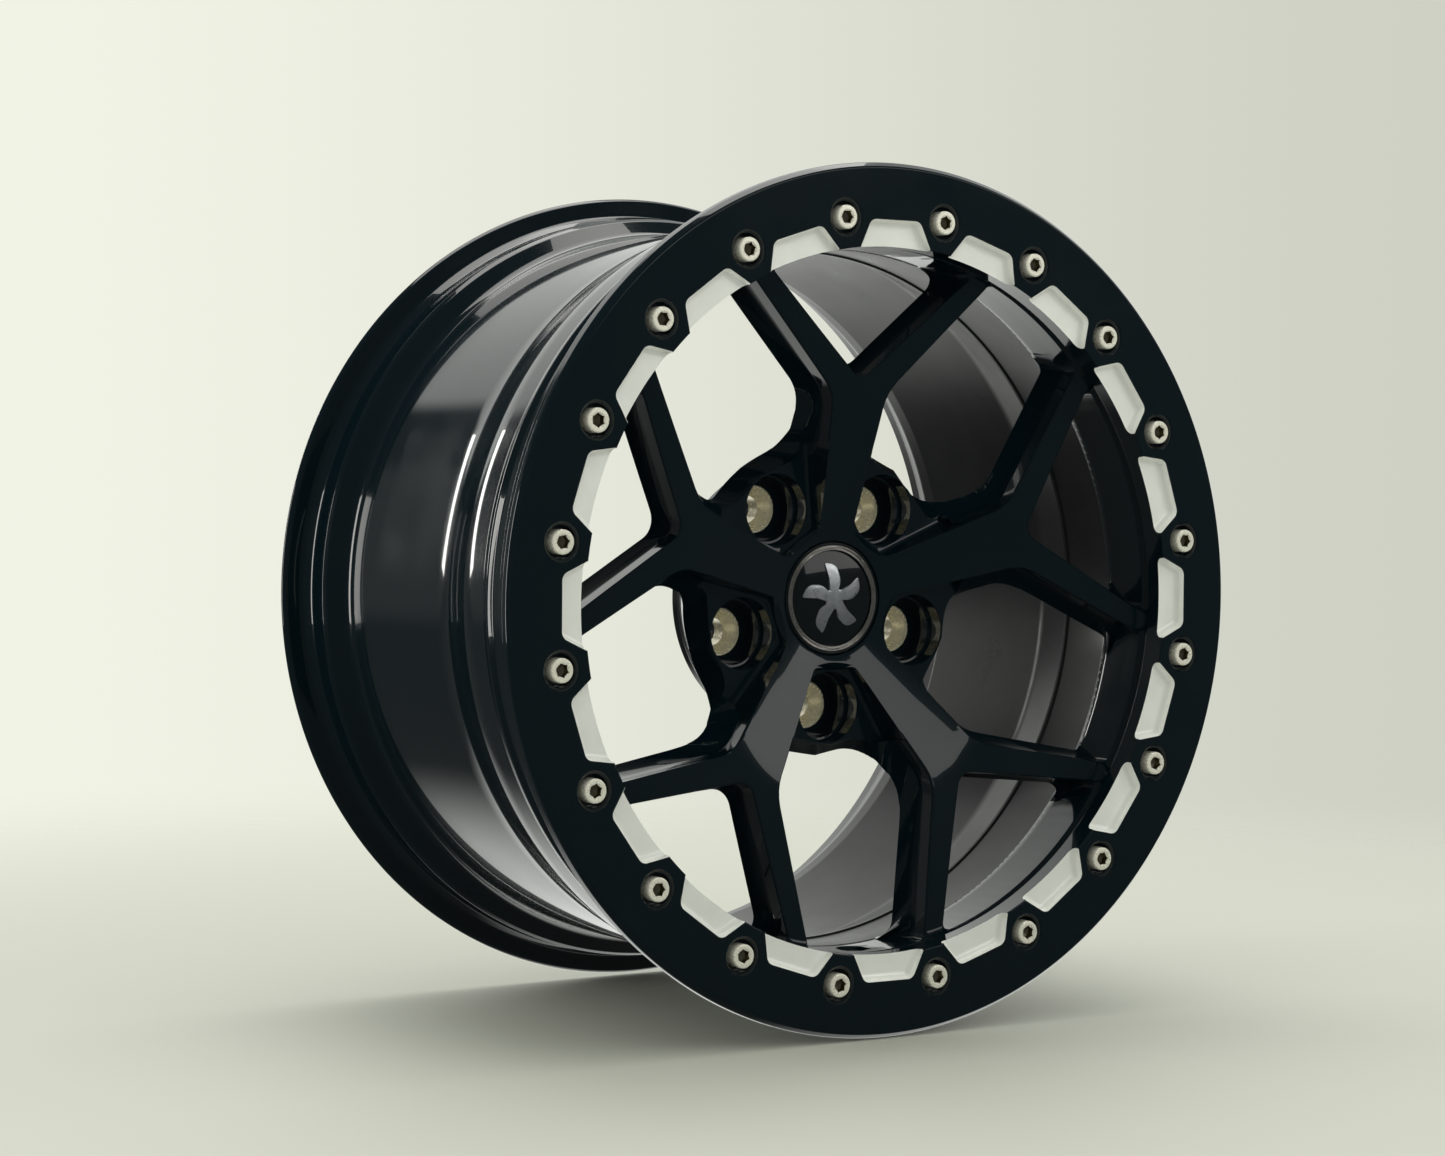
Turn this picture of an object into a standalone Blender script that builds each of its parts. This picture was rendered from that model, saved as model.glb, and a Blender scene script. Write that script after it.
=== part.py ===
"""Beadlock racing wheel: rim barrel, spoked centre, bolt-on bead ring, screws, lug seats, centre cap.

Metres, +Z up. The wheel turns about the Y axis and its outer (street) side faces -Y.
A main spoke points straight up. DEPTH values are measured back from the screw heads.
"""
import math

import bmesh
import bpy
from mathutils import Matrix, Vector

MM = 0.001
SEGMENTS = 40                 # round the axis, a multiple of the 20 screws
HALF_DEPTH = 135.0            # half of the overall depth over the screw heads
SPOKES = 5
SCREWS = 20

# beadlock ring
RING_FACE = 1.2
RING_OUTER_R = 234.1
RING_BORE_R = 189.5
RING_LIP_BACK = 8.6
RING_BACK = 15.9
RING_STEP_R = 213.0
POCKET_OUTER_X = 203.0
POCKET_FLOOR = 6.4

# beadlock screws, M8 socket cap
SCREW_CIRCLE_R = 206.0
SCREW_HEAD_R = 6.4
SCREW_HEAD_H = 7.7
SCREW_SHANK_R = 4.0
SCREW_TIP = 38.0
SOCKET_FLAT = 3.2
SOCKET_DEEP = 4.6
COUNTERBORE_R = 8.8
COUNTERBORE_FLOOR = 8.0
SCREW_HOLE_R = 4.5

# hub
LUG_CIRCLE_R = 60.0
LUG_POCKET_R = 19.5
LUG_STEP_DEPTH = 71.0
LUG_BORE_R = 17.8
LUG_FLOOR = 83.5
SEAT_R = 13.2
SEAT_CONE_R = 12.0
STUD_HOLE_R = 7.8
MOUNT_FACE = 105.0
MOUNT_PAD_R = 74.5
HUB_BORE_R = 36.0
CAP_BORE_R = 28.0
CAP_RECESS_R = 31.6
PAD_FLOOR = 61.0
EMBLEM_DEPTH = 54.6
EMBLEM_THICK = 0.9
LIP_R = 190.4
CENTRE_R = 190.1
HUB_R = 90.0                  # the hub ends and the spokes start
SEAM = 0.3
WINDOW_REACH = 215.0

# front and back of the spoked disc: (radius, depth)
SPOKE_FRONT = [(33.5, 56.6), (104.4, 34.6), (113.6, 32.1), (123.6, 30.6), (186.3, 21.6)]
SPOKE_BACK = [(76.0, 96.0), (88.0, 72.0), (96.0, 62.5), (106.0, 57.0), (124.0, 51.8), (187.0, 46.8)]


def clear_scene():
    for obj in list(bpy.data.objects):
        bpy.data.objects.remove(obj, do_unlink=True)
    for group in list(bpy.data.collections):
        bpy.data.collections.remove(group)


def make_collections():
    parts = bpy.data.collections.new("beadlock_racing_wheel")
    cutters = bpy.data.collections.new("cutters")
    bpy.context.scene.collection.children.link(parts)
    bpy.context.scene.collection.children.link(cutters)
    cutters.hide_render = True
    return parts, cutters


def material(name, colour, roughness, metallic):
    mat = bpy.data.materials.new(name)
    mat.use_nodes = True
    shader = mat.node_tree.nodes["Principled BSDF"]
    shader.inputs["Base Color"].default_value = (*colour, 1.0)
    shader.inputs["Roughness"].default_value = roughness
    shader.inputs["Metallic"].default_value = metallic
    return mat


def place_object(name, mesh, group, mat=None):
    obj = bpy.data.objects.new(name, mesh)
    group.objects.link(obj)
    if mat:
        mesh.materials.append(mat)
    if group.hide_render:
        obj.hide_render = True
        obj.display_type = "WIRE"
    return obj


def add_object(name, bm, group, mat=None):
    """Takes a bmesh in wheel axes (x right, y up, z out of the front) and stands it up."""
    bmesh.ops.recalc_face_normals(bm, faces=bm.faces)
    mesh = bpy.data.meshes.new(name)
    bm.to_mesh(mesh)
    bm.free()
    mesh.transform(Matrix.Rotation(math.radians(90), 4, "X"))
    return place_object(name, mesh, group, mat)


def apply_modifiers(obj):
    """Swaps the object's mesh for the one its modifiers make, with every face turned outwards."""
    bpy.context.view_layer.update()
    graph = bpy.context.evaluated_depsgraph_get()
    mesh = bpy.data.meshes.new_from_object(obj.evaluated_get(graph))
    bm = bmesh.new()
    bm.from_mesh(mesh)
    bmesh.ops.recalc_face_normals(bm, faces=bm.faces)
    bm.to_mesh(mesh)
    bm.free()
    obj.modifiers.clear()
    obj.data = mesh


def level(depth):
    """Height along the front normal, in metres, of a depth in millimetres."""
    return (HALF_DEPTH - depth) * MM


def turn(name, profile, group, mat=None, segments=SEGMENTS, centre=(0.0, 0.0), solid=False):
    """Turns (radius, depth) points round an axis along Y. A solid runs to the axis at both ends."""
    points = [(0.0, profile[0][1])] + profile + [(0.0, profile[-1][1])] if solid else profile
    edges = [(i, i + 1) for i in range(len(points) - 1)]
    if not solid:
        edges.append((len(points) - 1, 0))
    mesh = bpy.data.meshes.new(name)
    mesh.from_pydata([(r * MM, -level(d), 0.0) for r, d in points], edges, [])
    obj = place_object(name, mesh, group, mat)
    obj.location = (centre[0] * MM, 0.0, centre[1] * MM)
    screw = obj.modifiers.new("turn", "SCREW")
    screw.axis = "Y"
    screw.steps = segments
    screw.render_steps = segments
    screw.use_merge_vertices = True
    screw.merge_threshold = 0.00001
    apply_modifiers(obj)
    soften(obj)
    return obj


def loft(outlines):
    """Skins a list of closed outlines of equal length, each a list of (x, y, depth)."""
    bm = bmesh.new()
    rings = [[bm.verts.new((x * MM, y * MM, level(d))) for x, y, d in loop] for loop in outlines]
    count = len(rings[0])
    for first, second in zip(rings, rings[1:]):
        for i in range(count):
            j = (i + 1) % count
            bm.faces.new((first[i], first[j], second[j], second[i]))
    for loop in (rings[0], rings[-1]):
        centre = sum((v.co for v in loop), Vector()) / count
        hub = bm.verts.new(centre)
        for i in range(count):
            bm.faces.new((loop[i], loop[(i + 1) % count], hub))
    return bm


def rounded(corners):
    """Outline through corners (x, y, radius, points), each replaced by an arc."""
    out = []
    total = len(corners)
    for i in range(total):
        x, y, radius, points = corners[i]
        here = Vector((x, y))
        if radius <= 0:
            out.append((x, y))
            continue
        before = (Vector(corners[i - 1][:2]) - here).normalized()
        after = (Vector(corners[(i + 1) % total][:2]) - here).normalized()
        half = before.angle(after) / 2
        start = here + before * (radius / math.tan(half))
        end = here + after * (radius / math.tan(half))
        middle = here + (before + after).normalized() * (radius / math.sin(half))
        a0 = (start - middle)
        a1 = (end - middle)
        turn = a0.angle_signed(a1)
        for k in range(points):
            step = Matrix.Rotation(-turn * k / (points - 1), 2)
            out.append(tuple(middle + step @ a0))
    return out


def turned(points, degrees):
    c = math.cos(math.radians(degrees))
    s = math.sin(math.radians(degrees))
    return [(x * c - y * s, x * s + y * c) for x, y in points]


def depth_at(table, radius):
    if radius <= table[0][0]:
        return table[0][1]
    for (r0, d0), (r1, d1) in zip(table, table[1:]):
        if radius <= r1:
            return d0 + (d1 - d0) * (radius - r0) / (r1 - r0)
    return table[-1][1]


def spoke_angle(index):
    return 90.0 + index * 360.0 / SPOKES


def window_outline(pad_r, side_start, side_corner, rim_point, pad_round, side_round):
    """Outline of a window round its own middle line, which lies along +x."""
    half = [(math.sqrt(pad_r ** 2 - side_start ** 2), side_start, pad_round, 5),
            (side_corner[0], side_corner[1], side_round, 4),
            (rim_point[0], rim_point[1], 0, 1)]
    step = 180.0 / SPOKES
    right = [(*turned([(x, y)], -step)[0], r, n) for x, y, r, n in half]
    left = [(x, -y, r, n) for x, y, r, n in reversed(right)]
    return rounded(right + [(WINDOW_REACH, 0.0, 0, 1)] + left + [(pad_r, 0.0, 0, 1)])


def cut_windows(cutters):
    made = []
    front = window_outline(79.0, 14.8, (112.1, 17.6), (189.7, 95.1), 8.0, 26.0)
    back = window_outline(87.5, 25.5, (112.5, 28.5), (186.8, 97.4), 15.0, 20.0)
    for index in range(SPOKES):
        middle = spoke_angle(index) + 180.0 / SPOKES
        loops = []
        for outline, kind in ((front, 0), (front, 1), (back, 2), (back, 3)):
            loop = []
            for x, y in outline:
                radius = math.hypot(x, y)
                if kind == 0:
                    depth = -5.0
                elif kind == 1:
                    depth = 60.0 if radius < 88.0 else min(60.0, depth_at(SPOKE_FRONT, radius) + 8.0)
                elif kind == 2:
                    depth = depth_at(SPOKE_BACK, radius) - 0.8
                else:
                    depth = 118.0
                loop.append((*turned([(x, y)], middle)[0], depth))
            loops.append(loop)
        made.append(add_object("cut_window_%d" % index, loft(loops), cutters))
    return made


def cut_notches(cutters):
    made = []
    fronts = rounded([(118.5, 0.0, 12.0, 5), (197.8, -89.2, 0, 1), (WINDOW_REACH, 0.0, 0, 1),
                      (197.8, 89.2, 0, 1)])
    backs = rounded([(124.8, 0.0, 12.0, 5), (198.2, -84.9, 0, 1), (WINDOW_REACH, 0.0, 0, 1),
                     (198.2, 84.9, 0, 1)])
    for index in range(SPOKES):
        loops = []
        for outline, kind in ((fronts, 0), (fronts, 1), (backs, 2), (backs, 3)):
            loop = []
            for x, y in outline:
                radius = math.hypot(x, y)
                depth = (-5.0, depth_at(SPOKE_FRONT, radius) + 8.0,
                         depth_at(SPOKE_BACK, radius) - 0.8, 70.0)[kind]
                loop.append((*turned([(x, y)], spoke_angle(index))[0], depth))
            loops.append(loop)
        made.append(add_object("cut_notch_%d" % index, loft(loops), cutters))
    return made


def cut_pads(cutters):
    """Hollows between the spokes round the lug holes, down to the hub pad."""
    made = []
    step = 180.0 / SPOKES
    for index in range(SPOKES):
        loops = []
        for wide, depth in ((0.0, -5.0), (0.0, 48.0), (2.4, PAD_FLOOR)):
            side = [(39.0, 11.4 + wide, 5.0, 4), (82.0, 15.0 + wide, 0, 1)]
            right = [(*turned([(x, y)], -step)[0], r, n) for x, y, r, n in side]
            left = [(x, -y, r, n) for x, y, r, n in reversed(right)]
            outline = rounded(right + [(84.0, 0.0, 0, 1)] + left)
            middle = spoke_angle(index) + step
            loops.append([(*turned([p], middle)[0], depth) for p in outline])
        made.append(add_object("cut_pad_%d" % index, loft(loops), cutters))
    return made


def lug_centre(index):
    angle = math.radians(spoke_angle(index) + 180.0 / SPOKES)
    return LUG_CIRCLE_R * math.cos(angle), LUG_CIRCLE_R * math.sin(angle)


def screw_centre(index):
    angle = math.radians(90.0 + 180.0 / SCREWS - index * 360.0 / SCREWS)
    return SCREW_CIRCLE_R * math.cos(angle), SCREW_CIRCLE_R * math.sin(angle)


def cut_lugs(cutters):
    steps = [(LUG_POCKET_R, 30.0), (LUG_POCKET_R, LUG_STEP_DEPTH), (LUG_BORE_R, LUG_STEP_DEPTH + 0.8),
             (LUG_BORE_R, LUG_FLOOR), (SEAT_R + 0.3, LUG_FLOOR), (SEAT_R + 0.3, 101.3),
             (STUD_HOLE_R + 0.4, 101.3), (STUD_HOLE_R + 0.4, 112.0)]
    return [turn("cut_lug_%d" % i, steps, cutters, None, 20, lug_centre(i), solid=True)
            for i in range(SPOKES)]


def cut_threads(cutters):
    steps = [(SCREW_HOLE_R, 12.0), (SCREW_HOLE_R, 42.0)]
    return [turn("cut_thread_%02d" % i, steps, cutters, None, 8, screw_centre(i), solid=True)
            for i in range(SCREWS)]


def cut_valve(cutters):
    """Valve hole at the bottom of the wheel, leaning back into the tyre's air space."""
    bm = bmesh.new()
    bmesh.ops.create_cone(bm, cap_ends=True, segments=14, radius1=5.75 * MM, radius2=5.75 * MM, depth=60 * MM)
    lean = Matrix.Rotation(math.radians(-128.0), 4, "X")
    place = Matrix.Translation((0, -204.0 * MM, level(48.0)))
    bmesh.ops.transform(bm, matrix=place @ lean, verts=bm.verts)
    return add_object("cut_valve", bm, cutters)


def boolean(obj, tools, cutters, name, operation):
    group = bpy.data.collections.new(name)
    cutters.children.link(group)
    group.hide_render = True
    for tool in tools:
        cutters.objects.unlink(tool)
        group.objects.link(tool)
    change = obj.modifiers.new(name, "BOOLEAN")
    change.operation = operation
    change.operand_type = "COLLECTION"
    change.collection = group
    change.solver = "EXACT"
    change.material_mode = "TRANSFER"


def subtract(obj, tools, cutters, name):
    boolean(obj, tools, cutters, name, "DIFFERENCE")


def join(obj, tools, cutters):
    boolean(obj, tools, cutters, "joins", "UNION")


def soften(obj, degrees=30):
    for face in obj.data.polygons:
        face.use_smooth = True
    obj.data.set_sharp_from_angle(angle=math.radians(degrees))


def build_barrel(parts, cutters, mat):
    outside = [
        (190.8, 16.4), (213.4, 16.4), (213.4, 9.4), (232.6, 9.4), (232.6, 13.6), (230.4, 15.8),
        (222.5, 18.6), (218.4, 25.0), (218.0, 46.0), (219.6, 50.0), (217.6, 57.0), (217.0, 74.0),
        (215.4, 84.0), (209.0, 112.0), (207.5, 128.0), (207.5, 230.0), (210.0, 234.0),
        (218.8, 240.0), (219.6, 243.0), (218.2, 246.6), (218.7, 257.0), (222.0, 262.6),
        (232.4, 266.2), (233.2, 268.0), (231.8, 270.0)]
    inside = [
        (214.4, 270.0), (211.6, 258.0), (203.4, 240.0), (201.5, 228.0), (201.5, 126.0),
        (191.3, 92.0), (LIP_R, 86.0), (LIP_R, 16.8)]
    obj = turn("rim_barrel", outside + inside, parts, mat)
    subtract(obj, cut_threads(cutters) + [cut_valve(cutters)], cutters, "barrel_cutters")
    return obj


def build_centre(parts, cutters, mat):
    disc = [(CENTRE_R, 46.6)] + [(r, d) for r, d in reversed(SPOKE_BACK)]
    hub = [(MOUNT_PAD_R, 99.0), (MOUNT_PAD_R, MOUNT_FACE), (HUB_BORE_R + 1.5, MOUNT_FACE),
           (HUB_BORE_R, 103.5), (HUB_BORE_R, 80.0), (CAP_BORE_R, 80.0), (CAP_BORE_R, 61.0),
           (CAP_RECESS_R, 61.0), (CAP_RECESS_R, 57.4)]
    obj = turn("center_hub", disc + hub + SPOKE_FRONT + [(CENTRE_R, 21.0)], parts, mat)
    subtract(obj, cut_windows(cutters) + cut_notches(cutters), cutters, "window_cutters")
    subtract(obj, cut_pads(cutters), cutters, "pad_cutters")
    subtract(obj, cut_lugs(cutters), cutters, "lug_cutters")
    apply_modifiers(obj)
    build_spokes(obj.data, parts, cutters, mat)
    beyond = [(CENTRE_R + 10.0, 0.0), (CENTRE_R + 10.0, 130.0), (HUB_R, 130.0), (HUB_R, 0.0)]
    subtract(obj, [turn("cut_beyond_hub", beyond, cutters)], cutters, "hub_trim")
    return obj


def build_spokes(centre, parts, cutters, mat):
    """The five forked spokes, each from where it leaves the hub out to the barrel."""
    disc = place_object("spoked_disc", centre.copy(), cutters)
    rod = [(HUB_R + SEAM, -10.0), (HUB_R + SEAM, 140.0)]
    subtract(disc, [turn("cut_spoke_roots", rod, cutters, solid=True)], cutters, "hub_rod")
    apply_modifiers(disc)
    half_sector = math.cos(math.pi / SPOKES)
    for index in range(SPOKES):
        angle = math.radians(spoke_angle(index))
        bm = bmesh.new()
        bm.from_mesh(disc.data)
        others = [v for v in bm.verts if v.co.x * math.cos(angle) + v.co.z * math.sin(angle)
                  < math.hypot(v.co.x, v.co.z) * half_sector]
        bmesh.ops.delete(bm, geom=others, context="VERTS")
        mesh = bpy.data.meshes.new("spoke")
        bm.to_mesh(mesh)
        bm.free()
        soften(place_object("spoke_%02d" % (index + 1), mesh, parts, mat))
    bpy.data.objects.remove(disc)


def pocket_outline(shrink):
    """Trapezium open to the bore: long side inwards, rounded outer corners."""
    outer = POCKET_OUTER_X - shrink
    side_out = 15.6 - shrink
    side_in = 22.9 - shrink
    half = [(184.0, -side_in - 1.5, 0, 1), (outer, -side_out, 4.6 - 0.6 * shrink, 4)]
    return rounded(half + [(x, -y, r, n) for x, y, r, n in reversed(half)])


def build_ring(parts, cutters, mat, bright):
    profile = [
        (RING_BORE_R, RING_FACE + 0.4), (RING_BORE_R + 0.4, RING_FACE), (230.4, RING_FACE),
        (232.6, 2.1), (233.8, 3.7), (RING_OUTER_R, 5.2), (RING_OUTER_R, 7.9), (233.3, RING_LIP_BACK),
        (RING_STEP_R, RING_LIP_BACK), (RING_STEP_R, RING_BACK), (RING_BORE_R, RING_BACK)]
    obj = turn("beadlock_ring", profile, parts, mat)
    pockets = []
    for index in range(SCREWS):
        angle = 90.0 - index * 360.0 / SCREWS
        loops = []
        for shrink, depth in ((0.0, -4.0), (0.0, 3.2), (1.1, 5.3), (3.4, POCKET_FLOOR)):
            loops.append([(*turned([p], angle)[0], depth) for p in pocket_outline(shrink)])
        pockets.append(add_object("cut_pocket_%02d" % index, loft(loops), cutters, bright))
    bores = []
    for index in range(SCREWS):
        steps = [(COUNTERBORE_R + 5.7, -4.0), (COUNTERBORE_R, 2.0), (COUNTERBORE_R, COUNTERBORE_FLOOR),
                 (4.6, COUNTERBORE_FLOOR), (4.6, 20.0)]
        bores.append(turn("cut_bore_%02d" % index, steps, cutters, None, 12, screw_centre(index), solid=True))
    subtract(obj, pockets, cutters, "pocket_cutters")
    subtract(obj, bores, cutters, "bore_cutters")
    return obj


def shared_copies(prefix, count, first, parts, place):
    """Places count objects that share the mesh of the first, named from 01."""
    made = []
    for index in range(count):
        obj = first if index == 0 else bpy.data.objects.new(prefix, first.data)
        obj.name = "%s_%02d" % (prefix, index + 1)
        if index:
            parts.objects.link(obj)
        x, y = place(index)
        obj.location = (x * MM, 0.0, y * MM)
        made.append(obj)
    return made


def build_screws(parts, cutters, mat):
    profile = [(SCREW_HEAD_R - 0.7, 0.0), (SCREW_HEAD_R, 0.7), (SCREW_HEAD_R, SCREW_HEAD_H),
               (SCREW_SHANK_R, SCREW_HEAD_H), (SCREW_SHANK_R - 0.3, SCREW_TIP)]
    first = turn("beadlock_screw", profile, parts, mat, 12, solid=True)
    corner = SOCKET_FLAT / math.cos(math.radians(30)) * MM
    bm = bmesh.new()
    bmesh.ops.create_cone(bm, cap_ends=True, segments=6, radius1=corner, radius2=corner,
                          depth=2 * SOCKET_DEEP * MM)
    bmesh.ops.translate(bm, verts=bm.verts, vec=(0, 0, level(0.0)))
    subtract(first, [add_object("cut_socket", bm, cutters)], cutters, "socket_cutter")
    apply_modifiers(first)
    return shared_copies("beadlock_screw", SCREWS, first, parts, screw_centre)


def build_seats(parts, mat):
    profile = [(SEAT_R, 84.0), (SEAT_R, 101.0), (STUD_HOLE_R, 101.0), (STUD_HOLE_R, 92.0),
               (SEAT_CONE_R, 84.8), (SEAT_CONE_R + 0.4, 84.0)]
    first = turn("lug_seat", profile, parts, mat, 20)
    return shared_copies("lug_seat", SPOKES, first, parts, lug_centre)


def cap_leg(bm, degrees):
    """One springy leg of the cap, with a hooked end behind the wheel's cap bore."""
    loops = []
    for inner, outer, depth in ((24.6, 26.4, 63.2), (24.6, 26.4, 66.0), (24.6, 26.4, 80.6),
                                (24.6, 27.2, 82.0), (24.6, 26.0, 85.0)):
        loop = []
        for radius, turn in ((inner, -13), (inner, 13), (outer, 13), (outer, 0), (outer, -13)):
            a = math.radians(degrees + turn)
            loop.append(bm.verts.new((radius * MM * math.cos(a), radius * MM * math.sin(a), level(depth))))
        loops.append(loop)
    for first, second in zip(loops, loops[1:]):
        for i in range(5):
            j = (i + 1) % 5
            bm.faces.new((first[i], first[j], second[j], second[i]))
    bm.faces.new(loops[0])
    bm.faces.new(loops[-1])


def build_cap(parts, cutters, black, chrome, silver, steel):
    shell = [(29.6, 57.6), (31.0, 58.6), (31.0, 60.6), (27.5, 60.6), (27.5, 65.6), (20.0, 65.6),
             (20.0, 60.4), (29.2, 60.4)]
    core = turn("center_cap_body", shell, parts, black, 36)
    plate = turn("join_plate", [(22.0, 61.4), (22.0, 64.6)], cutters, None, 24, solid=True)
    legs = bmesh.new()
    for index in range(6):
        cap_leg(legs, 30 + 60 * index)
    join(core, [plate, add_object("join_legs", legs, cutters)], cutters)
    trim = [(29.0, 57.9), (29.0, 60.1), (26.4, 60.1), (26.4, 57.9), (27.7, 57.2)]
    turn("center_cap_trim_ring", trim, parts, chrome, 36)
    dome = [(9.0, 55.9), (17.0, 56.6), (23.0, 57.5), (25.6, 58.3), (26.0, 58.9), (26.0, 60.1)]
    turn("center_cap_badge", dome, parts, black, 36, solid=True)
    wire = [(22.6 + 0.9 * math.cos(k * math.tau / 6), 74.0 + 0.9 * math.sin(k * math.tau / 6))
            for k in range(6)]
    turn("center_cap_spring_ring", wire, parts, steel, 24)
    build_emblem(parts, silver)


def build_emblem(parts, mat):
    """A plain five-bladed pinwheel standing proud of the badge."""
    curve = bpy.data.curves.new("center_cap_emblem", "CURVE")
    curve.dimensions = "2D"
    curve.fill_mode = "BOTH"
    curve.extrude = EMBLEM_THICK / 2 * MM
    outline = []
    for blade in range(5):
        base = 90 + 72 * blade
        for radius, angle in ((5.0, -20), (12.0, -20), (18.0, -8), (20.5, 16), (14.0, 20), (8.6, 34)):
            a = math.radians(base + angle)
            outline.append((radius * MM * math.cos(a), radius * MM * math.sin(a), 0.0, 1.0))
    spline = curve.splines.new("POLY")
    spline.points.add(len(outline) - 1)
    for point, place in zip(spline.points, outline):
        point.co = place
    spline.use_cyclic_u = True
    emblem = place_object("center_cap_emblem", curve, parts, mat)
    emblem.rotation_euler = (math.radians(90), 0, 0)
    emblem.location = (0, -level(EMBLEM_DEPTH + EMBLEM_THICK / 2), 0)
    return emblem


def main():
    clear_scene()
    parts, cutters = make_collections()
    black = material("gloss_black_paint", (0.012, 0.014, 0.018), 0.08, 0.0)
    bright = material("bare_aluminium", (0.80, 0.81, 0.80), 0.28, 1.0)
    steel = material("stainless_steel", (0.72, 0.69, 0.60), 0.25, 1.0)
    seat_steel = material("turned_steel", (0.66, 0.60, 0.50), 0.22, 1.0)
    chrome = material("chrome_trim", (0.78, 0.76, 0.74), 0.10, 1.0)
    silver = material("silver_badge", (0.70, 0.75, 0.78), 0.35, 1.0)
    build_barrel(parts, cutters, black)
    build_centre(parts, cutters, black)
    build_ring(parts, cutters, black, bright)
    build_screws(parts, cutters, steel)
    build_seats(parts, seat_steel)
    build_cap(parts, cutters, black, chrome, silver, steel)


main()
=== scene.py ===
"""Looks of the beadlock racing wheel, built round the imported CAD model.

Lengths called radius, depth or width are in millimetres. Depth is measured back from the screw
heads, which are the front of the wheel. Shapes are drawn in wheel axes (x right, y up, z out of
the front) and then stood up, so that the front faces -Y in the frame. The studio is in metres.
"""
import math

import bmesh
import bpy
from mathutils import Matrix, Vector

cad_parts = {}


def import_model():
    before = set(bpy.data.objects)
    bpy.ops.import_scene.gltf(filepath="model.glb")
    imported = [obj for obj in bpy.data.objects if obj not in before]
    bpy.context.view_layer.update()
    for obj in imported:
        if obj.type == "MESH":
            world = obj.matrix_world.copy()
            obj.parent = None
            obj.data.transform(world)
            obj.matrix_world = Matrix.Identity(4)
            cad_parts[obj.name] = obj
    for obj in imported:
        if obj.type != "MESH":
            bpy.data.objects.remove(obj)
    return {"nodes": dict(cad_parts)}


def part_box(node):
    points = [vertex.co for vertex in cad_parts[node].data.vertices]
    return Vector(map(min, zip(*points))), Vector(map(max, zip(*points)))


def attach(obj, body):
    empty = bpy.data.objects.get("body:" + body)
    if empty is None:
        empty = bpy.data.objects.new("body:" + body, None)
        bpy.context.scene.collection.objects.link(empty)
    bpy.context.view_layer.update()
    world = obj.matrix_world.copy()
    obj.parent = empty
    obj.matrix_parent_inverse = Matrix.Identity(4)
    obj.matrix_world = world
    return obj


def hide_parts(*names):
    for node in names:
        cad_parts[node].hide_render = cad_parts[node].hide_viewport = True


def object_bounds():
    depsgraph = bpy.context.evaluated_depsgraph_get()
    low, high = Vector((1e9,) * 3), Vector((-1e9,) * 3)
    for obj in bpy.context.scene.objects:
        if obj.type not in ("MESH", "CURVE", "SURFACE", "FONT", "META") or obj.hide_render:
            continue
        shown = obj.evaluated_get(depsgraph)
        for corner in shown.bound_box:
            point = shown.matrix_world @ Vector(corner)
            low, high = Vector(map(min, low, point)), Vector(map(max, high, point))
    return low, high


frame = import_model()
CAD_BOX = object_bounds()

MM = 0.001
FRONT = -CAD_BOX[0].y                       # front plane of the wheel, in metres along z
RING_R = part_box("beadlock_ring")[1].z / MM
SCREW_NODES = sorted(n for n in frame["nodes"] if n.startswith("beadlock_screw"))
SEAT_NODES = sorted(n for n in frame["nodes"] if n.startswith("lug_seat"))
SPOKE_NODES = sorted(n for n in frame["nodes"] if n.startswith("spoke_"))
SPOKES = len(SPOKE_NODES)
SCREWS = len(SCREW_NODES)
SECTOR = 360.0 / SPOKES
SEGMENTS = 240

RING_FACE = 1.2                             # depth of the ring's flat front
RING_BORE_R = RING_R - 44.6
RING_BACK = 15.9
SCREW_HEAD_R = (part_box(SCREW_NODES[0])[1].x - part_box(SCREW_NODES[0])[0].x) / MM / 2
LIP_R = RING_BORE_R + 0.9                   # edge of the forging inside the ring
MOUNT_FACE = 105.0                          # depth of the face that rests on the car's hub
WELL_R = 207.5                              # drop centre of the barrel, outside
INNER_R = 192.2                             # bore of the barrel where it meets the spokes
FIRST_TURN = 14.0                           # where a rounded edge starts, in degrees off the face

SPOKE_FRONT = [(30.0, 56.9), (33.5, 56.6), (100.0, 36.0), (108.0, 33.8), (116.0, 32.0), (128.0, 30.2),
               (186.3, 21.6)]
SPOKE_BACK = [(76.0, 96.0), (88.0, 72.0), (96.0, 62.5), (106.0, 57.0), (124.0, 51.8), (187.0, 46.8)]


# ---------------------------------------------------------------- outlines

def polar(radius, degrees):
    return radius * math.cos(math.radians(degrees)), radius * math.sin(math.radians(degrees))


def turned(points, degrees):
    """The same points turned about the spin axis."""
    c = math.cos(math.radians(degrees))
    s = math.sin(math.radians(degrees))
    return [(p[0] * c - p[1] * s, p[0] * s + p[1] * c) for p in points]


def rounded(corners):
    """Points along a closed outline of corners (x, y, radius), each sharp or replaced by an arc."""
    out = []
    for i, (x, y, radius) in enumerate(corners):
        if radius <= 0:
            out.append((x, y))
            continue
        here = Vector((x, y))
        before = (Vector(corners[i - 1][:2]) - here).normalized()
        after = (Vector(corners[(i + 1) % len(corners)][:2]) - here).normalized()
        half = before.angle(after) / 2
        if half > math.radians(89.5):
            out.append((x, y))
            continue
        reach = radius / math.tan(half)
        middle = here + (before + after).normalized() * (radius / math.sin(half))
        first = here + before * reach - middle
        turn = first.angle_signed(here + after * reach - middle)
        steps = max(3, int(abs(turn) / math.radians(9)))
        for k in range(steps + 1):
            out.append(tuple(middle + Matrix.Rotation(-turn * k / steps, 2) @ first))
    return out


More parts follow.
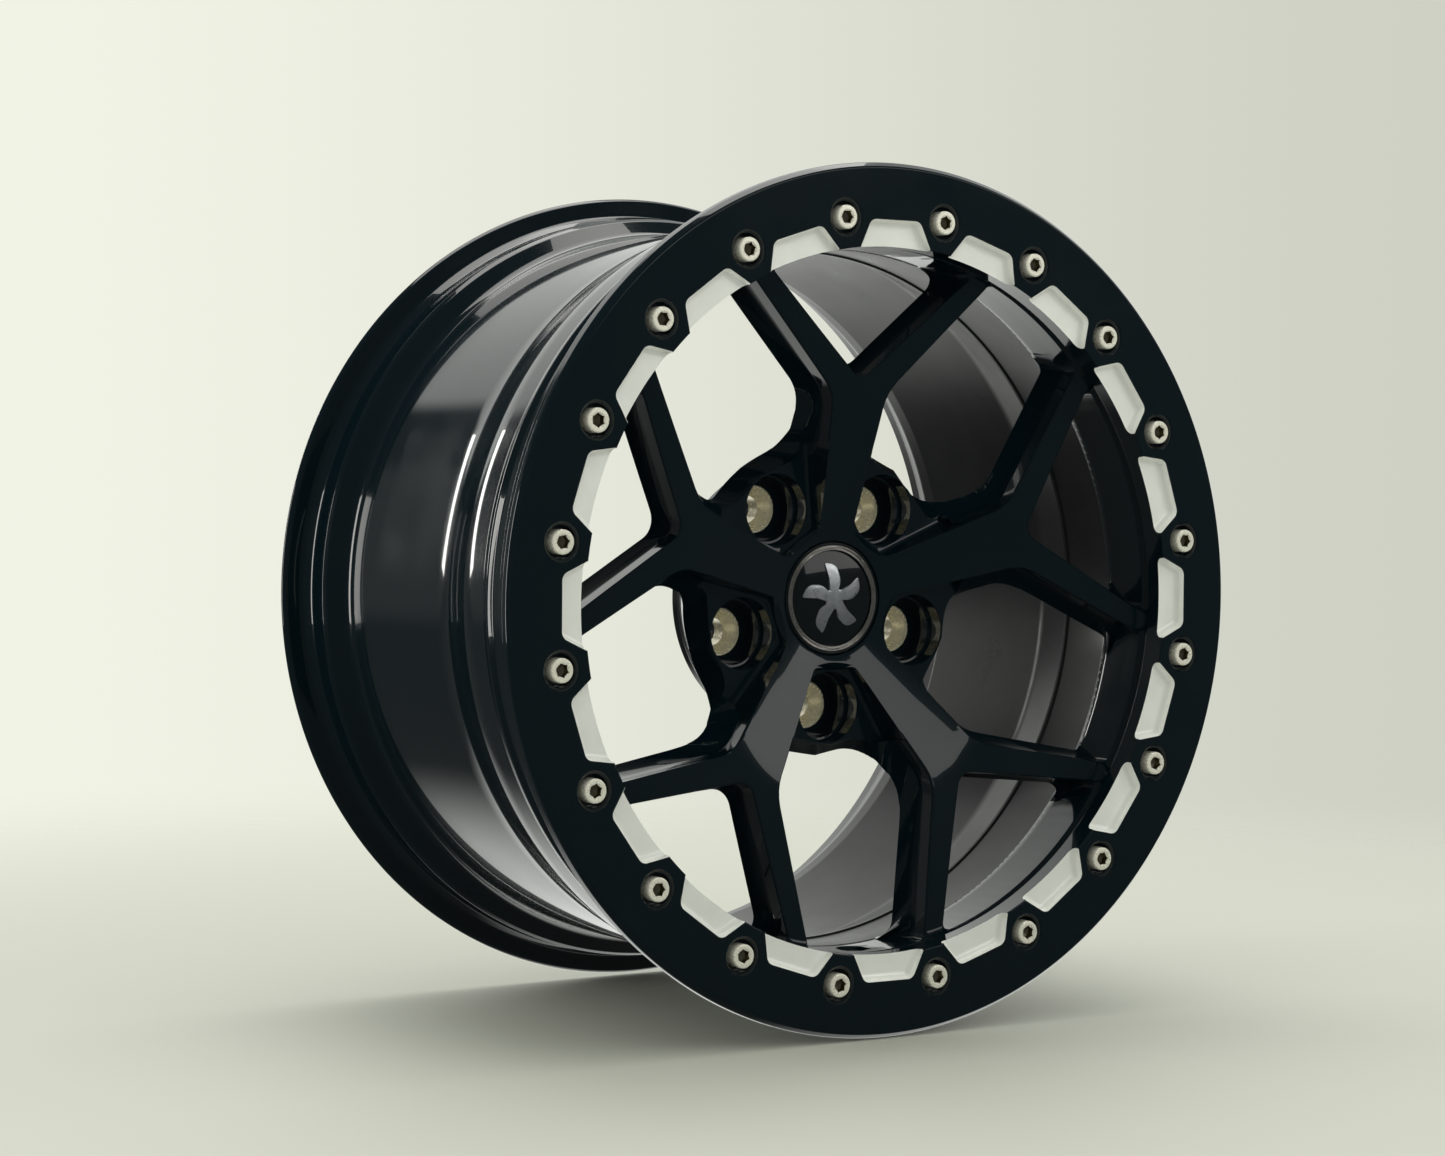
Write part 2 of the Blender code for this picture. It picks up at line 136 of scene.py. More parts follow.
def refined(points, longest):
    """The same closed outline with no side longer than longest."""
    out = []
    for i, (x, y) in enumerate(points):
        nx, ny = points[(i + 1) % len(points)]
        pieces = max(1, math.ceil(math.hypot(nx - x, ny - y) / longest))
        out += [(x + (nx - x) * k / pieces, y + (ny - y) * k / pieces) for k in range(pieces)]
    return out


def grown(points, width):
    """A closed outline moved outwards by width."""
    area = sum(points[i - 1][0] * p[1] - p[0] * points[i - 1][1] for i, p in enumerate(points))
    side = 1.0 if area > 0 else -1.0
    out = []
    for i, (x, y) in enumerate(points):
        bx, by = points[i - 1]
        ax, ay = points[(i + 1) % len(points)]
        d0 = Vector((x - bx, y - by)).normalized()
        d1 = Vector((ax - x, ay - y)).normalized()
        n0 = Vector((d0.y, -d0.x)) * side
        n1 = Vector((d1.y, -d1.x)) * side
        mean = (n0 + n1).normalized()
        reach = width / max(0.5, mean.dot(n0))
        out.append((x + mean.x * reach, y + mean.y * reach))
    return out


def depth_at(table, radius):
    """Depth at a radius, along straight lines between the (radius, depth) rows of a table."""
    if radius <= table[0][0]:
        return table[0][1]
    for (r0, d0), (r1, d1) in zip(table, table[1:]):
        if radius <= r1:
            return d0 + (d1 - d0) * (radius - r0) / (r1 - r0)
    return table[-1][1]


# ---------------------------------------------------------------- meshes

def level(depth):
    """Height along the wheel's own axis of a depth behind the screw heads."""
    return FRONT - depth * MM


def stand_up(name, bm, materials, smooth=30.0):
    """Makes an object from a bmesh drawn in wheel axes and turns it upright."""
    bmesh.ops.recalc_face_normals(bm, faces=bm.faces)
    mesh = bpy.data.meshes.new(name)
    bm.to_mesh(mesh)
    bm.free()
    mesh.transform(Matrix.Rotation(math.radians(90), 4, "X"))
    for mat in materials:
        mesh.materials.append(mat)
    obj = bpy.data.objects.new(name, mesh)
    bpy.context.scene.collection.objects.link(obj)
    shade(obj, smooth)
    return obj


def shade(obj, degrees):
    """Smooth shading, with edges that bend by more than some degrees left sharp."""
    for face in obj.data.polygons:
        face.use_smooth = True
    obj.data.set_sharp_from_angle(angle=math.radians(degrees))


def lathe(profile, segments=SEGMENTS):
    """Turns a closed outline of (radius, depth) points about the spin axis."""
    bm = bmesh.new()
    ring = [bm.verts.new((r * MM, 0.0, level(d))) for r, d in profile]
    edges = [bm.edges.new((ring[i], ring[(i + 1) % len(ring)])) for i in range(len(ring))]
    bmesh.ops.spin(bm, geom=ring + edges, cent=(0, 0, 0), axis=(0, 0, 1), dvec=(0, 0, 0),
                   angle=math.tau, steps=segments, use_merge=True, use_duplicate=False)
    bmesh.ops.remove_doubles(bm, verts=bm.verts, dist=1e-7)
    return bm


def plug(steps, segments, centre=(0.0, 0.0)):
    """A solid of stacked round levels, (radius, depth) from front to back."""
    return loft([[(*(Vector(centre) + Vector(polar(r, 360.0 * i / segments))), d)
                  for i in range(segments)] for r, d in steps])


def loft(outlines):
    """Skins closed outlines of equal length, each a list of (x, y, depth), and caps both ends."""
    bm = bmesh.new()
    rings = [[bm.verts.new((x * MM, y * MM, level(d))) for x, y, d in loop] for loop in outlines]
    count = len(rings[0])
    for first, second in zip(rings, rings[1:]):
        for i in range(count):
            j = (i + 1) % count
            bm.faces.new((first[i], first[j], second[j], second[i]))
    for loop in (rings[0], rings[-1]):
        hub = bm.verts.new(sum((v.co for v in loop), Vector()) / count)
        for i in range(count):
            bm.faces.new((loop[i], loop[(i + 1) % count], hub))
    return bm


def edge_round(size, steps=3):
    """(outward, deeper) offsets that round a front edge, from the face down into the wall."""
    out = [(size * (1 - math.sin(math.radians(FIRST_TURN))) + 3.0, -3.0)]
    for k in range(steps + 1):
        a = math.radians(FIRST_TURN + (90 - FIRST_TURN) * k / steps)
        out.append((size * (1 - math.sin(a)), size * (1 - math.cos(a))))
    return out


def subtract(obj, cutters, smooth=30.0):
    """Cuts all the cutters from obj. Cut faces keep the cutter's own material."""
    group = bpy.data.collections.new("cut")
    for cutter in cutters:
        for holder in list(cutter.users_collection):
            holder.objects.unlink(cutter)
        group.objects.link(cutter)
    cut = obj.modifiers.new("cut", "BOOLEAN")
    cut.operation = "DIFFERENCE"
    cut.operand_type = "COLLECTION"
    cut.collection = group
    cut.solver = "EXACT"
    cut.material_mode = "TRANSFER"
    bake(obj)
    for cutter in cutters:
        bpy.data.objects.remove(cutter, do_unlink=True)
    bpy.data.collections.remove(group)
    shade(obj, smooth)


def bake(obj):
    """Swaps the object's mesh for its evaluated one and drops the modifiers."""
    bpy.context.view_layer.update()
    graph = bpy.context.evaluated_depsgraph_get()
    old = obj.data
    obj.data = bpy.data.meshes.new_from_object(obj.evaluated_get(graph))
    obj.modifiers.clear()
    obj.data.name = old.name


def weigh_normals(obj):
    weigh = obj.modifiers.new("face weighted normals", "WEIGHTED_NORMAL")
    weigh.mode = "FACE_AREA"
    weigh.weight = 60
    weigh.keep_sharp = True


def finish_piece(obj, body, slot, *nodes):
    """Parents the piece to the body that carries it and hides the CAD nodes it replaces. The slot is not
    used.
    """
    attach(obj, body)
    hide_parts(*nodes)


# ---------------------------------------------------------------- materials

class Nodes:
    """Short calls for building a Principled material."""

    def __init__(self, name, colour, roughness, metallic, coat=0.0, coat_roughness=0.03):
        self.mat = bpy.data.materials.new(name)
        self.mat.use_nodes = True
        self.tree = self.mat.node_tree
        self.shader = self.tree.nodes["Principled BSDF"]
        for socket, value in (("Base Color", (*colour, 1.0)), ("Roughness", roughness),
                              ("Metallic", metallic), ("Coat Weight", coat),
                              ("Coat Roughness", coat_roughness)):
            self.shader.inputs[socket].default_value = value
        self.coords = self.tree.nodes.new("ShaderNodeTexCoord")
        self.bump_last = None

    def link(self, a, b):
        self.tree.links.new(a, b)

    def mapped(self, scale):
        """The object's own coordinates, stretched."""
        node = self.tree.nodes.new("ShaderNodeMapping")
        node.inputs["Scale"].default_value = scale
        self.link(self.coords.outputs["Object"], node.inputs["Vector"])
        return node.outputs["Vector"]

    def noise(self, scale, detail=3.0, stretch=(1, 1, 1), roughness=0.5):
        node = self.tree.nodes.new("ShaderNodeTexNoise")
        node.inputs["Scale"].default_value = scale
        node.inputs["Detail"].default_value = detail
        node.inputs["Roughness"].default_value = roughness
        self.link(self.mapped(stretch), node.inputs["Vector"])
        return node.outputs["Fac"]

    def ramp(self, value, low, high, at=(0.3, 0.7)):
        """Maps a 0 to 1 value between two greys or two colours."""
        node = self.tree.nodes.new("ShaderNodeValToRGB")
        for stop, place, colour in zip(node.color_ramp.elements, at, (low, high)):
            stop.position = place
            stop.color = (*colour, 1) if isinstance(colour, tuple) else (colour, colour, colour, 1)
        self.link(value, node.inputs["Fac"])
        return node.outputs["Color"]

    def bump(self, value, strength, distance):
        """Adds one more layer of bump on top of those already there."""
        node = self.tree.nodes.new("ShaderNodeBump")
        node.inputs["Strength"].default_value = strength
        node.inputs["Distance"].default_value = distance
        self.link(value, node.inputs["Height"])
        if self.bump_last:
            self.link(self.bump_last, node.inputs["Normal"])
        self.bump_last = node.outputs["Normal"]
        self.link(self.bump_last, self.shader.inputs["Normal"])

    def colour(self, socket):
        self.link(socket, self.shader.inputs["Base Color"])

    def rough(self, socket):
        self.link(socket, self.shader.inputs["Roughness"])

    def radius_from_axis(self):
        """Distance from the object's own Y axis, in metres."""
        split = self.tree.nodes.new("ShaderNodeSeparateXYZ")
        self.link(self.coords.outputs["Object"], split.inputs["Vector"])
        join = self.tree.nodes.new("ShaderNodeCombineXYZ")
        self.link(split.outputs["X"], join.inputs["X"])
        self.link(split.outputs["Z"], join.inputs["Y"])
        size = self.tree.nodes.new("ShaderNodeVectorMath")
        size.operation = "LENGTH"
        self.link(join.outputs["Vector"], size.inputs[0])
        return size.outputs["Value"]

    def turning_marks(self, pitch, strength, distance):
        """Fine grooves left by a lathe, round the object's own axis."""
        count = self.tree.nodes.new("ShaderNodeMath")
        count.operation = "MULTIPLY"
        count.inputs[1].default_value = math.tau / pitch
        self.link(self.radius_from_axis(), count.inputs[0])
        wave = self.tree.nodes.new("ShaderNodeMath")
        wave.operation = "SINE"
        self.link(count.outputs[0], wave.inputs[0])
        self.bump(wave.outputs[0], strength, distance)


def gloss_paint(name, colour=(0.0014, 0.0050, 0.0075), rough=(0.10, 0.20), peel=0.00003):
    """Black enamel under clear lacquer, with orange peel, faint haze and dust."""
    n = Nodes(name, colour, rough[0], 0.0, coat=1.0, coat_roughness=0.02)
    n.shader.inputs["Specular IOR Level"].default_value = 0.12
    n.rough(n.ramp(n.noise(26.0, 5.0), *rough))
    dusty = tuple(c * 2.0 + 0.002 for c in colour)
    n.colour(n.ramp(n.noise(900.0, 2.0), colour, dusty, (0.72, 0.86)))
    n.bump(n.noise(34.0, 2.0), 0.35, peel * 4)
    n.bump(n.noise(420.0, 2.0), 0.30, peel)
    return n.mat


def satin_paint(name):
    """Thinner, duller black on the inside of the barrel."""
    n = Nodes(name, (0.009, 0.010, 0.011), 0.30, 0.0, coat=0.22, coat_roughness=0.16)
    n.shader.inputs["Specular IOR Level"].default_value = 0.26
    n.rough(n.ramp(n.noise(40.0, 4.0), 0.27, 0.34))
    n.bump(n.noise(700.0, 2.0), 0.3, 0.00002)
    n.colour(n.ramp(n.noise(60.0, 5.0), (0.008, 0.009, 0.010), (0.012, 0.013, 0.014)))
    return n.mat


def milled_aluminium(name):
    """Bead-blasted pale silver of the milled pockets."""
    n = Nodes(name, (0.90, 0.91, 0.88), 0.42, 0.45)
    n.colour(n.ramp(n.noise(60.0, 6.0), (0.87, 0.88, 0.85), (0.93, 0.94, 0.91)))
    n.rough(n.ramp(n.noise(260.0, 4.0), 0.36, 0.48))
    n.bump(n.noise(1500.0, 3.0, (1.0, 0.15, 1.0)), 0.25, 0.00002)
    return n.mat


def turned_steel(name, colour, rough, pitch, metallic):
    """Bright steel off a lathe, with round tool marks and slight stains."""
    n = Nodes(name, colour, rough[0], metallic)
    n.colour(n.ramp(n.noise(240.0, 5.0), tuple(c * 0.93 for c in colour), colour))
    n.rough(n.ramp(n.noise(500.0, 4.0), *rough))
    n.turning_marks(pitch, 0.30, 0.00002)
    n.bump(n.noise(2600.0, 2.0), 0.08, 0.000012)
    return n.mat


def chrome(name):
    """Polished chrome plate of the cap's trim ring."""
    n = Nodes(name, (0.80, 0.78, 0.75), 0.07, 1.0)
    n.rough(n.ramp(n.noise(300.0, 4.0), 0.05, 0.14))
    n.bump(n.noise(1200.0, 2.0), 0.15, 0.00001)
    return n.mat


def satin_silver(name):
    """Satin silver of the emblem."""
    n = Nodes(name, (0.70, 0.75, 0.79), 0.33, 1.0)
    n.colour(n.ramp(n.noise(120.0, 4.0), (0.62, 0.67, 0.72), (0.80, 0.84, 0.87)))
    n.rough(n.ramp(n.noise(400.0, 4.0), 0.26, 0.40))
    n.bump(n.noise(2200.0, 2.0), 0.2, 0.00001)
    return n.mat


PAINT = gloss_paint("black gloss paint")
RING_PAINT = gloss_paint("ring gloss paint")
INSIDE = satin_paint("barrel inside paint")
ALUMINIUM = milled_aluminium("milled aluminium")
SCREW_STEEL = turned_steel("stainless screw", (0.95, 0.93, 0.82), (0.24, 0.34), 0.00035, 0.5)
# The darker socket steel stands for oil and for painted shade down in the hex socket.
SOCKET_OIL_AND_SHADE_STEEL = turned_steel("screw socket steel with oil and painted shade", (0.42, 0.40, 0.28), (0.16, 0.26), 0.00035, 1.0)
SEAT_STEEL = turned_steel("turned seat steel", (0.92, 0.86, 0.66), (0.20, 0.30), 0.0006, 0.6)
CHROME = chrome("chrome trim")
SILVER = satin_silver("badge silver")
CAP_BLACK = gloss_paint("cap gloss plastic", (0.002, 0.004, 0.005), (0.10, 0.18), 0.00001)
WIRE = turned_steel("spring wire", (0.50, 0.50, 0.50), (0.30, 0.45), 0.001, 1.0)


# ---------------------------------------------------------------- wheel body

STRAIGHT_WALL = 9.0                         # depth over which a window's wall runs straight back
PAST_BACK = 1.5

def window_outline(pad_r, side_start, corner, lip, rounds):
    """Outline of one window between two spokes, its middle along +x."""
    pad_round, corner_round, lip_round = rounds
    half = [(math.sqrt(pad_r ** 2 - side_start ** 2), side_start, pad_round),
            (*corner, corner_round), (*lip, lip_round)]
    right = [(*turned([p], -SECTOR / 2)[0], p[2]) for p in half]
    left = [(x, -y, r) for x, y, r in reversed(right)]
    edge = math.degrees(math.atan2(right[-1][1], right[-1][0]))
    arc = [(*polar(LIP_R, edge - 2 * edge * k / 24), 0) for k in range(1, 24)]
    return refined(rounded(right + arc + left + [(pad_r, 0.0, 0)]), 2.5)


def notch_outline(tip, lip, rounds):
    """Outline of the gap between the two arms of one spoke, its middle along +x."""
    edge = math.degrees(math.atan2(lip[1], lip[0]))
    arc = [(*polar(LIP_R, edge * (2 * k / 16 - 1)), 0) for k in range(1, 16)]
    corners = [(tip, 0.0, rounds[0]), (lip[0], -lip[1], rounds[1])] + arc + [(*lip, rounds[1])]
    return refined(rounded(corners), 2.5)


def nearest_match(source, target):
    """Target outline resampled so that its points pair with those of source by share of length."""
    def lengths(points):
        total = [0.0]
        for i in range(len(points)):
            total.append(total[-1] + math.dist(points[i], points[(i + 1) % len(points)]))
        return total
    a = lengths(source)
    b = lengths(target)
    out = []
    j = 0
    for i in range(len(source)):
        want = a[i] / a[-1] * b[-1]
        while b[j + 1] < want:
            j += 1
        t = (want - b[j]) / (b[j + 1] - b[j])
        p, q = target[j], target[(j + 1) % len(target)]
        out.append((p[0] + (q[0] - p[0]) * t, p[1] + (q[1] - p[1]) * t))
    return out


def place_loop(points, middle):
    """Points (x, y, depth) of an outline about +x, turned to their place round the wheel."""
    return [(*turned([(x, y)], middle)[0], depth) for x, y, depth in points]


def window_cutter(front, back, middle, wall_end, deep, edge):
    """A tapering plug through the spokes' disc, its front edge rounded where it leaves the face."""
    back = nearest_match(front, back)
    rounding = edge_round(edge)
    mouth = (rounding[0][0] + 12.0, -15.0)
    loops = []
    for out, deeper in [mouth] + rounding:
        loops.append(place_loop([(x, y, depth_at(SPOKE_FRONT, math.hypot(x, y)) + deeper)
                                 for x, y in grown(front, out)], middle))
    for share in (0.0, 0.08, 0.25, 0.55, 1.0):
        loop = []
        for (x, y), (u, v) in zip(front, back):
            knee = min(wall_end, depth_at(SPOKE_FRONT, math.hypot(x, y)) + STRAIGHT_WALL)
            end = depth_at(SPOKE_BACK, math.hypot(u, v)) + PAST_BACK
            blend = share * share * (1.5 - 0.5 * share)
            loop.append((x + (u - x) * blend, y + (v - y) * blend, knee + (end - knee) * share))
        loops.append(place_loop(loop, middle))
    loops.append([(x, y, deep) for x, y, _ in loops[-1]])
    return loft(loops)


def body_profile():
    """Closed outline of the blank: outside of the barrel, inside, hub, front of the spokes."""
    outside = [
        (190.0, 16.4, 0), (213.4, 16.4, 0.4), (213.4, 9.4, 0), (232.9, 9.4, 1.3), (232.9, 13.4, 1.2),
        (229.0, 16.4, 5.0), (219.2, 19.6, 7.0), (218.0, 30.0, 12.0), (218.0, 46.6, 3.0),
        (219.8, 50.6, 4.0), (217.6, 57.6, 5.0), (216.8, 77.0, 80.0), (WELL_R, 118.0, 95.0),
        (WELL_R, 231.6, 11.0), (218.0, 240.6, 2.5), (219.6, 243.4, 1.4), (218.2, 247.0, 1.5),
        (218.7, 257.0, 6.0), (222.6, 263.2, 4.0), (231.4, 265.0, 3.0), (233.2, 267.6, 1.6),
        (232.0, 270.0, 1.0)]
    inside = [
        (215.4, 270.0, 3.0), (211.6, 257.0, 12.0), (203.4, 240.0, 14.0), (201.5, 228.0, 14.0),
        (201.5, 126.0, 30.0), (192.3, 93.8, 0), (191.3, 92.4, 0.6), (191.3, 90.4, 0.6),
        (INNER_R, 89.0, 0), (INNER_R, 56.0, 0)]
    disc = [(r, d, 4.0) for r, d in reversed(SPOKE_BACK)]
    hub = [(74.5, 99.0, 3.0), (74.5, MOUNT_FACE, 0.8), (37.4, MOUNT_FACE, 0), (36.0, 103.6, 0),
           (36.0, 80.0, 0), (28.0, 80.0, 0.5), (28.0, 61.0, 0.5), (31.6, 61.0, 0.3), (31.6, 57.6, 0.8)]
    front = [(r, d, 0) for r, d in SPOKE_FRONT[1:]] + [(188.4, 20.4, 1.5), (189.6, 18.2, 1.0)]
    return rounded(outside + inside + disc + hub + front)


def pad_cutter(middle):
    """Hollow between two spokes, down to the pad that holds the lug hole."""
    loops = []
    for wide, depth in ((0.0, 5.0), (0.0, 52.0), (0.5, 57.0), (1.6, 60.0), (3.4, 61.0)):
        side = [(38.6, 11.0 + wide, 4.0), (86.0, 15.0 + wide, 0)]
        right = [(*turned([p], -SECTOR / 2)[0], p[2]) for p in side]
        left = [(x, -y, r) for x, y, r in reversed(right)]
        outline = rounded(right + [(90.0, 0.0, 0)] + left)
        loops.append(place_loop([(x, y, depth) for x, y in outline], middle))
    return loft(loops)


def centre_of(node):
    """Where a node's middle lies off the spin axis."""
    low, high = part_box(node)
    return (low.x + high.x) / 2 / MM, (low.z + high.z) / 2 / MM


WINDOW_FRONT = window_outline(79.0, 14.8, (112.3, 17.7), (173.3, 78.9), (7.0, 24.0, 4.0))
WINDOW_BACK = window_outline(88.0, 26.5, (112.5, 28.5), (171.3, 84.0), (16.0, 20.0, 9.0))
NOTCH_FRONT = notch_outline(118.5, (178.0, 66.9), (9.0, 3.5))
NOTCH_BACK = notch_outline(124.8, (179.5, 63.3), (12.0, 8.0))
LUG_STEPS = [(26.0, 55.0), (19.9, 60.4), (19.5, 61.4), (19.5, 70.6), (18.9, 71.4), (17.8, 71.6),
             (17.8, 83.5), (13.5, 83.5), (13.5, 101.3), (8.2, 101.3), (8.2, 104.2), (9.4, 112.0)]
SCREW_HOLE = [(4.5, 12.0), (4.5, 42.0)]
VALVE_STEPS = [(9.0, -12.0), (9.0, 3.0), (6.6, 3.0), (5.75, 4.0), (5.75, 44.0)]
VALVE_DEPTH = 34.0
VALVE_LEAN = -128.0                         # degrees the valve hole's axis turns off the spin axis


def valve_cutter():
    """The valve hole, bored at a slant from under the lip at the bottom of the wheel."""
    valve = plug(VALVE_STEPS, 40)
    bmesh.ops.translate(valve, verts=valve.verts, vec=(0, 0, -FRONT))
    place = Matrix.Translation((0, -LIP_R * MM, level(VALVE_DEPTH)))
    bmesh.ops.transform(valve, verts=valve.verts,
                        matrix=place @ Matrix.Rotation(math.radians(VALVE_LEAN), 4, "X"))
    return stand_up("cut", valve, [PAINT])


def build_body():
    """Barrel, hub and spokes as one seamless piece, cut from one turned blank."""
    body = stand_up("wheel_body", lathe(body_profile()), [PAINT, INSIDE])
    cutters = []
    for index in range(SPOKES):
        spoke = 90.0 + SECTOR * index
        window = window_cutter(WINDOW_FRONT, WINDOW_BACK, spoke + SECTOR / 2, 60.0, 118.0, 1.3)
        notch = window_cutter(NOTCH_FRONT, NOTCH_BACK, spoke, 40.0, 75.0, 1.1)
        cutters += [stand_up("cut", bm, [PAINT]) for bm in (window, notch)]
    subtract(body, cutters)
    subtract(body, [stand_up("cut", pad_cutter(90.0 + SECTOR * (i + 0.5)), [PAINT]) for i in range(SPOKES)])
    holes = []
    for node in SEAT_NODES:
        holes.append(stand_up("cut", plug(LUG_STEPS, 72, centre_of(node)), [PAINT]))
    for node in SCREW_NODES:
        holes.append(stand_up("cut", plug(SCREW_HOLE, 24, centre_of(node)), [PAINT]))
    holes.append(valve_cutter())
    subtract(body, holes)
    paint_inside(body)
    flatten_back(body)
    weigh_normals(body)
    finish_piece(body, "wheel", "black_paint", "rim_barrel", "center_hub", *SPOKE_NODES)


def paint_inside(body):
    """The barrel's inner wall behind the spokes has the duller coat."""
    for face in body.data.polygons:
        x, y, z = face.center
        radius = math.hypot(x, z) / MM
        depth = (y + FRONT) / MM
        inward = face.normal.x * x + face.normal.z * z < 0
        if depth > 57.0 and inward and radius > 191.0:
            face.material_index = 1


def flatten_back(body):
    """The machined back of the spokes is flat, so its long faces take no smooth shading."""
    for face in body.data.polygons:
        if face.normal.y > 0.97:
            face.use_smooth = False


# ---------------------------------------------------------------- bead ring

POCKET_DEPTH = 5.2
POCKET_FILLET = 3.4
POCKET_HALF = [(184.0, -24.4, 0), (203.0, -15.6, 4.6)]


def pocket_cutter(angle):
    """One milled pocket, open towards the bore, its floor rounded into its walls."""
    outline = rounded(POCKET_HALF + [(x, -y, r) for x, y, r in reversed(POCKET_HALF)])
    loops = []
    for out, deeper in edge_round(0.5, 2):
        loops.append(place_loop([(x, y, RING_FACE + deeper) for x, y in grown(outline, out)], angle))
    for k in range(7):
        a = math.radians(90.0 * k / 6)
        shrink = POCKET_FILLET * (1 - math.cos(a))
        depth = RING_FACE + POCKET_DEPTH - POCKET_FILLET * (1 - math.sin(a))
        loops.append(place_loop([(x, y, depth) for x, y in grown(outline, -shrink)], angle))
    return loft(loops)


COUNTERBORE = [(14.0, -3.0), (10.6, 1.1), (10.1, 1.5), (9.0, 2.9), (8.7, 3.4), (8.7, 7.8), (8.5, 8.0),
               (4.6, 8.0), (4.6, 20.0)]


def build_ring():
    """The bead ring with its milled pockets and counterbored screw holes."""
    profile = rounded([
        (RING_BORE_R, RING_FACE, 0.7), (RING_R - 2.6, RING_FACE, 1.6), (RING_R, RING_FACE + 3.2, 2.2),
        (RING_R, 8.6, 0.9), (213.0, 8.6, 0), (213.0, RING_BACK, 0.4), (RING_BORE_R, RING_BACK, 0.6)])
    ring = stand_up("bead_ring", lathe(profile), [RING_PAINT, ALUMINIUM])
    cutters = []
    for index in range(SCREWS):
        angle = 90.0 - index * 360.0 / SCREWS
        cutters.append(stand_up("cut", pocket_cutter(angle), [ALUMINIUM]))
    subtract(ring, cutters)
    bores = []
    for node in SCREW_NODES:
        bores.append(stand_up("cut", plug(COUNTERBORE, 64, centre_of(node)), [RING_PAINT]))
    subtract(ring, bores)
    weigh_normals(ring)
    finish_piece(ring, "bead_ring", "ring_paint", "beadlock_ring")


# ---------------------------------------------------------------- small pieces

BADGE_R = 26.0
BADGE_TOP = 55.9
BADGE_RISE = 2.9
DOME_TURN = 24                              # half angle of the badge's dome, in degrees
DOME_DROP = 1 - math.cos(math.radians(DOME_TURN))
EMBLEM_PROUD = 0.75
SPRING_R = 22.6
WIRE_R = 0.9


def build_screws():
    """Socket cap screws that share one mesh, each turned by a different amount."""
    head = rounded([(0.02, 0.0, 0), (SCREW_HEAD_R, 0.0, 0.9), (SCREW_HEAD_R, 7.7, 0.2),
                    (4.0, 7.7, 0), (4.0, 36.6, 0), (3.0, 38.0, 0), (0.02, 38.0, 0)])
    screw = stand_up("screw_01", lathe(head, 48), [SCREW_STEEL, SOCKET_OIL_AND_SHADE_STEEL])
    socket = plug([(3.7 + 0.75, -0.6), (3.7, 0.55), (3.7, 4.4), (1.0, 5.6)], 6)
    entry = plug([(4.6, -0.4), (3.2, 0.75), (1.0, 2.0)], 36)
    # The hex socket's faces take the darker steel: oil and painted shade in the recess.
    subtract(screw, [stand_up("cut", socket, [SOCKET_OIL_AND_SHADE_STEEL]), stand_up("cut", entry, [SCREW_STEEL])], 24)
    weigh_normals(screw)
    mesh = screw.data
    for index, node in enumerate(SCREW_NODES):
        obj = screw if index == 0 else bpy.data.objects.new("screw_%02d" % (index + 1), mesh)
        if index:
            bpy.context.scene.collection.objects.link(obj)
            weigh_normals(obj)
        x, z = centre_of(node)
        obj.location = (x * MM, 0, z * MM)
        obj.rotation_euler = (0, math.radians(37.0 * index), 0)
        finish_piece(obj, "bead_ring", "screw_steel", node)


def build_seats():
    """Steel rings with a conical mouth, sunk in the lug holes."""
    profile = rounded([
        (13.2, 84.0, 0.3), (13.2, 101.0, 0), (7.8, 101.0, 0.4), (7.8, 92.0, 0.8), (11.6, 85.0, 0.6),
        (12.2, 84.0, 0.3)])
    for index, node in enumerate(SEAT_NODES):
        centre = centre_of(node)
        seat = stand_up("lug_seat_ring_%02d" % (index + 1), lathe(profile, 96), [SEAT_STEEL])
        seat.location = (centre[0] * MM, 0, centre[1] * MM)
        weigh_normals(seat)
        finish_piece(seat, "wheel", "seat_steel", node)


def leg(degrees):
    """One springy leg of the cap, with a small hook at its end."""
    loops = []
    for inner, outer, depth in ((24.8, 26.4, 63.2), (24.8, 26.4, 80.4), (24.8, 27.2, 81.8),
                                (24.8, 27.2, 82.4), (24.8, 26.0, 85.0)):
        turns = [-13 + 26 * k / 8 for k in range(9)]
        loop = [(*polar(inner, degrees + t), depth) for t in turns]
        loop += [(*polar(outer, degrees + t), depth) for t in reversed(turns)]
        loops.append(loop)
    return loft(loops)


def joined(name, parts, materials):
    """One object from several bmeshes, each with its own normals made right first."""
    whole = bmesh.new()
    for part in parts:
        bmesh.ops.recalc_face_normals(part, faces=part.faces)
        mesh = bpy.data.meshes.new("part")
        part.to_mesh(mesh)
        part.free()
        whole.from_mesh(mesh)
        bpy.data.meshes.remove(mesh)
    return stand_up(name, whole, materials)


